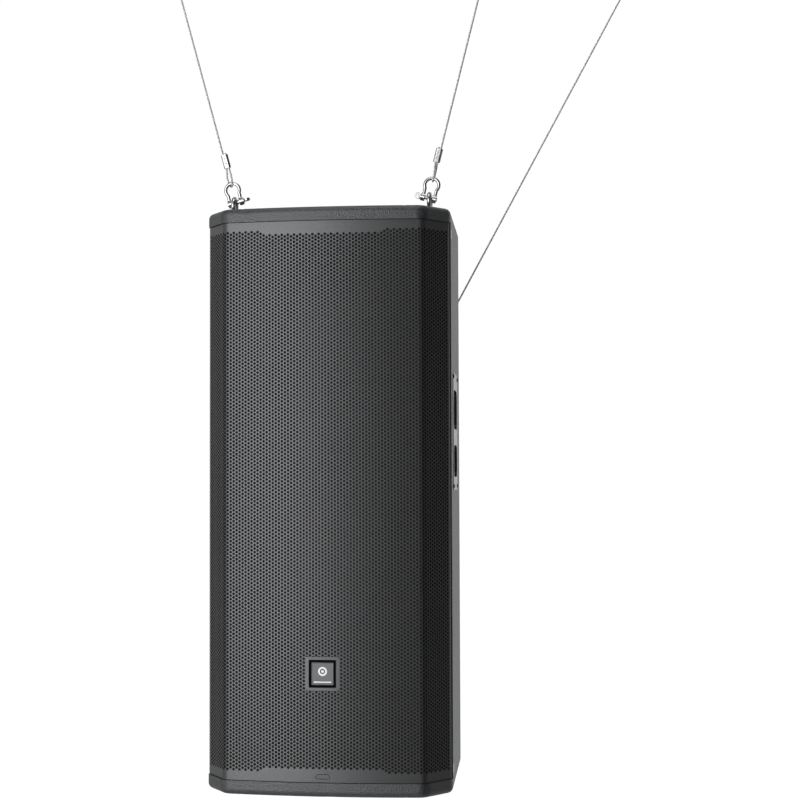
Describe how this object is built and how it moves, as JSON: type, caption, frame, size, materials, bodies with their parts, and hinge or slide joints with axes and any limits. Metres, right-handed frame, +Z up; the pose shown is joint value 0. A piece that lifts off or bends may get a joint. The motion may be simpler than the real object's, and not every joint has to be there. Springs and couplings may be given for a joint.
{
  "type": "line array speaker",
  "caption": "Tall two-way powered loudspeaker cabinet with a curved perforated grille, side pocket handles and a rear amplifier, hung on wire-rope slings with shackles and eyebolts.",
  "frame": {"origin": "on the floor plane under the middle of the cabinet, whose feet stand on it; the ropes and their fittings are not counted", "axes": "+X to the right and +Y to the back as seen from the front, +Z up"},
  "size_m": [0.9279, 0.7273, 1.751],
  "materials": {
    "coated_board": "birch plywood under a black, finely pebbled sprayed coating",
    "bare_board": "plywood stained black inside",
    "grille_metal": "perforated steel, satin dark grey powder coat",
    "black_foam": "open-cell acoustic foam",
    "badge_finish": "satin plate in a dark tray",
    "light_lens": "smoked lens",
    "moulded_plastic": "fine-grained moulded plastic",
    "soft_knob": "matt rubber",
    "zinc_steel": "zinc-plated steel",
    "black_screw": "black oxide steel",
    "cast_alloy": "black powder-coated casting",
    "magnet_steel": "ferrite ring between plated steel plates",
    "coil_copper": "enamelled winding on a former",
    "cone_paper": "ribbed black paper",
    "treated_cloth": "doped cloth",
    "amp_metal": "black anodised casting",
    "circuit_board": "green solder resist",
    "display_glass": "clear-coated dark window",
    "polished_steel": "polished stainless steel",
    "rope_steel": "galvanised strands",
    "pressed_alloy": "pressed aluminium with tool marks"
  },
  "bodies": {
    "cabinet": {"amp_boards": "circuit_board", "amp_chassis": "amp_metal", "amp_panel": "amp_metal", "badge": "badge_finish", "bottom_cap": "coated_board", "cabinet_screws": "black_screw", "compression_driver": "cast_alloy", "display_window": "display_glass", "encoder_body": "moulded_plastic", "eyebolts": "polished_steel", "feet": "soft_knob", "flypoint_inserts": "zinc_steel", "front_baffle": "bare_board", "grille": "grille_metal", "grille_foam": "black_foam", "handle_left": "moulded_plastic", "handle_right": "moulded_plastic", "horn": "moulded_plastic", "lower_woofer_basket": "cast_alloy", "lower_woofer_motor": "magnet_steel", "lower_woofer_spider": "treated_cloth", "lower_woofer_surround": "treated_cloth", "mains_module": "moulded_plastic", "port_ducts": "moulded_plastic", "rear_corner_panels": "coated_board", "rear_panel": "coated_board", "side_panel_left": "coated_board", "side_panel_right": "coated_board", "signal_sockets": "moulded_plastic", "status_light": "light_lens", "top_cap": "coated_board", "upper_woofer_basket": "cast_alloy", "upper_woofer_motor": "magnet_steel", "upper_woofer_spider": "treated_cloth", "upper_woofer_surround": "treated_cloth", "window_brace": "bare_board"},
    "lower_cone": {"lower_woofer_cone": "cone_paper", "lower_woofer_voice_coil": "coil_copper"},
    "upper_cone": {"upper_woofer_cone": "cone_paper", "upper_woofer_voice_coil": "coil_copper"},
    "encoder_plunger": {"encoder_shaft": "zinc_steel"},
    "encoder_knob": {"encoder_knob": "soft_knob"},
    "release_tab_1": {"release_tab_1": "moulded_plastic"},
    "release_tab_2": {"release_tab_2": "moulded_plastic"},
    "switch_rocker": {"switch_rocker": "moulded_plastic"},
    "left_sling": {"left_shackle_bow": "polished_steel", "left_shackle_pin": "polished_steel", "left_rope": "rope_steel", "left_ferrules": "pressed_alloy", "left_ceiling_eye": "polished_steel"},
    "right_sling": {"right_shackle_bow": "polished_steel", "right_shackle_pin": "polished_steel", "right_rope": "rope_steel", "right_ferrules": "pressed_alloy", "right_ceiling_eye": "polished_steel"},
    "rear_sling": {"rear_shackle_bow": "polished_steel", "rear_shackle_pin": "polished_steel", "rear_rope": "rope_steel", "rear_ferrules": "pressed_alloy", "rear_ceiling_eye": "polished_steel"}
  },
  "joints": [
    {"name": "lower_cone_travel", "type": "slide", "parent": "cabinet", "child": "lower_cone", "axis": [0, 1, 0], "range_m": [-0.008, 0.008], "stiffness_N_per_m": 3500, "deforming": ["lower_woofer_surround", "lower_woofer_spider"]},
    {"name": "upper_cone_travel", "type": "slide", "parent": "cabinet", "child": "upper_cone", "axis": [0, 1, 0], "range_m": [-0.008, 0.008], "stiffness_N_per_m": 3500, "deforming": ["upper_woofer_surround", "upper_woofer_spider"]},
    {"name": "encoder_push", "type": "slide", "parent": "cabinet", "child": "encoder_plunger", "axis": [0, -1, 0], "range_m": [0, 0.0008], "stiffness_N_per_m": 1500},
    {"name": "encoder_turn", "type": "hinge", "parent": "encoder_plunger", "child": "encoder_knob", "pos_m": [0.02, 0.217, 0.452], "axis": [0, 1, 0], "continuous": true},
    {"name": "release_push_1", "type": "slide", "parent": "cabinet", "child": "release_tab_1", "axis": [0, -1, 0], "range_m": [0, 0.002], "stiffness_N_per_m": 400},
    {"name": "release_push_2", "type": "slide", "parent": "cabinet", "child": "release_tab_2", "axis": [0, -1, 0], "range_m": [0, 0.002], "stiffness_N_per_m": 400},
    {"name": "mains_rocker", "type": "hinge", "parent": "cabinet", "child": "switch_rocker", "pos_m": [-0.016, 0.208, 0.394], "axis": [1, 0, 0], "range_deg": [-20, 0]},
    {"name": "left_shackle_swing", "type": "hinge", "parent": "cabinet", "child": "left_sling", "pos_m": [-0.1839, -0.134, 1.10128], "axis": [0.965, 0, 0.2622], "range_deg": [-75, 75]},
    {"name": "right_shackle_swing", "type": "hinge", "parent": "cabinet", "child": "right_sling", "pos_m": [0.18402, -0.134, 1.10125], "axis": [0.969, 0, -0.247], "range_deg": [-75, 75]},
    {"name": "rear_shackle_swing", "type": "hinge", "parent": "cabinet", "child": "rear_sling", "pos_m": [0.00248, 0.26044, 0.58782], "axis": [0.8887, 0, -0.4585], "range_deg": [-75, 8]}
  ]
}
